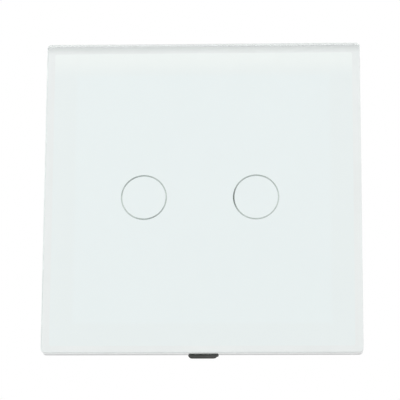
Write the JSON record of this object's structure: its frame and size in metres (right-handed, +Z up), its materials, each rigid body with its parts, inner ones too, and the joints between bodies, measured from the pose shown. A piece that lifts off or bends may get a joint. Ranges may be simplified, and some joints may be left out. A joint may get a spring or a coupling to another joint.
{
  "type": "touch light switch",
  "caption": "Square glass touch light switch with ring-marked touch spots, on a recessed wall module with steel plate, spring clips and clamp terminals.",
  "frame": {"origin": "on the wall's face, midway between the two slots for the wall box's screws", "axes": "+X right as seen from the room, +Y into the wall, +Z up; the glass faces -Y"},
  "size_m": [0.08, 0.035, 0.0803],
  "materials": {
    "clear_glass": "clear, polished, bevelled edges",
    "white_print": "white ink on the back of the glass",
    "silver_print": "silver ink on the back of the glass",
    "tape": "white double-sided tape",
    "white_plastic": "fine moulded texture",
    "zinc_steel": "zinc plated",
    "spring_steel": "bright spring steel",
    "dark_plastic": "dark grey moulded, fine texture",
    "board": "green solder mask",
    "insulating_film": "translucent film",
    "led_body": "white body with clear lens",
    "chip_black": "black moulded",
    "ceramic_chip": "ceramic chips",
    "brass": "plated brass",
    "relay_case": "blue case",
    "ferrite": "dark ferrite",
    "tape_yellow": "winding under yellow tape",
    "film_case": "yellow box",
    "can_sleeve": "dark sleeve",
    "varistor_coat": "blue epoxy coat",
    "terminal_plastic": "dark grey moulded"
  },
  "bodies": {
    "module": {"mounting_plate": "zinc_steel", "panel_clips": "spring_steel", "clip_rivets": "zinc_steel", "front_cover": "dark_plastic", "cover_screws": "zinc_steel", "touch_board": "board", "insulating_sheet": "insulating_film", "indicator_leds": "led_body", "touch_chip": "chip_black", "touch_board_small_parts": "ceramic_chip", "header_body": "chip_black", "header_pins": "brass", "header_socket": "chip_black", "rear_housing": "dark_plastic", "power_board": "board", "relay_left": "relay_case", "relay_right": "relay_case", "transformer_core": "ferrite", "transformer_bobbin": "chip_black", "transformer_winding": "tape_yellow", "film_capacitor": "film_case", "reservoir_capacitor": "can_sleeve", "output_capacitor": "can_sleeve", "fuse": "chip_black", "varistor": "varistor_coat", "filter_choke": "ferrite", "bridge_rectifier": "chip_black", "regulator_chip": "chip_black", "terminal_block": "terminal_plastic", "terminal_blades": "brass", "touch_spring_left": "spring_steel", "touch_spring_right": "spring_steel"},
    "panel": {"glass_plate": "clear_glass", "back_print": "white_print", "ring_print_left": "silver_print", "ring_print_right": "silver_print", "adhesive_tape": "tape", "panel_frame": "white_plastic"},
    "screw_left": {"terminal_screw_left": "zinc_steel"},
    "clamp_left": {"clamp_cage_left": "zinc_steel"},
    "screw_middle": {"terminal_screw_middle": "zinc_steel"},
    "clamp_middle": {"clamp_cage_middle": "zinc_steel"},
    "screw_right": {"terminal_screw_right": "zinc_steel"},
    "clamp_right": {"clamp_cage_right": "zinc_steel"}
  },
  "joints": [
    {"name": "panel_pull_off", "type": "slide", "parent": "module", "child": "panel", "axis": [0, -1, 0], "range_m": [0, 0.012], "deforming": ["panel_clips", "touch_spring_left", "touch_spring_right"]},
    {"name": "clamp_left_rise", "type": "slide", "parent": "module", "child": "clamp_left", "axis": [0, 1, 0], "range_m": [0, 0.0025]},
    {"name": "screw_left_turn", "type": "hinge", "parent": "module", "child": "screw_left", "pos_m": [-0.0075, 0.0209, -0.0154], "axis": [0, -1, 0], "range_deg": [0, 1800]},
    {"name": "clamp_middle_rise", "type": "slide", "parent": "module", "child": "clamp_middle", "axis": [0, 1, 0], "range_m": [0, 0.0025]},
    {"name": "screw_middle_turn", "type": "hinge", "parent": "module", "child": "screw_middle", "pos_m": [0, 0.0209, -0.0154], "axis": [0, -1, 0], "range_deg": [0, 1800]},
    {"name": "clamp_right_rise", "type": "slide", "parent": "module", "child": "clamp_right", "axis": [0, 1, 0], "range_m": [0, 0.0025]},
    {"name": "screw_right_turn", "type": "hinge", "parent": "module", "child": "screw_right", "pos_m": [0.0075, 0.0209, -0.0154], "axis": [0, -1, 0], "range_deg": [0, 1800]}
  ],
  "couplings": [
    {"joint": "screw_left_turn", "follows": "clamp_left_rise", "rad_per_m": 12566},
    {"joint": "screw_middle_turn", "follows": "clamp_middle_rise", "rad_per_m": 12566},
    {"joint": "screw_right_turn", "follows": "clamp_right_rise", "rad_per_m": 12566}
  ]
}
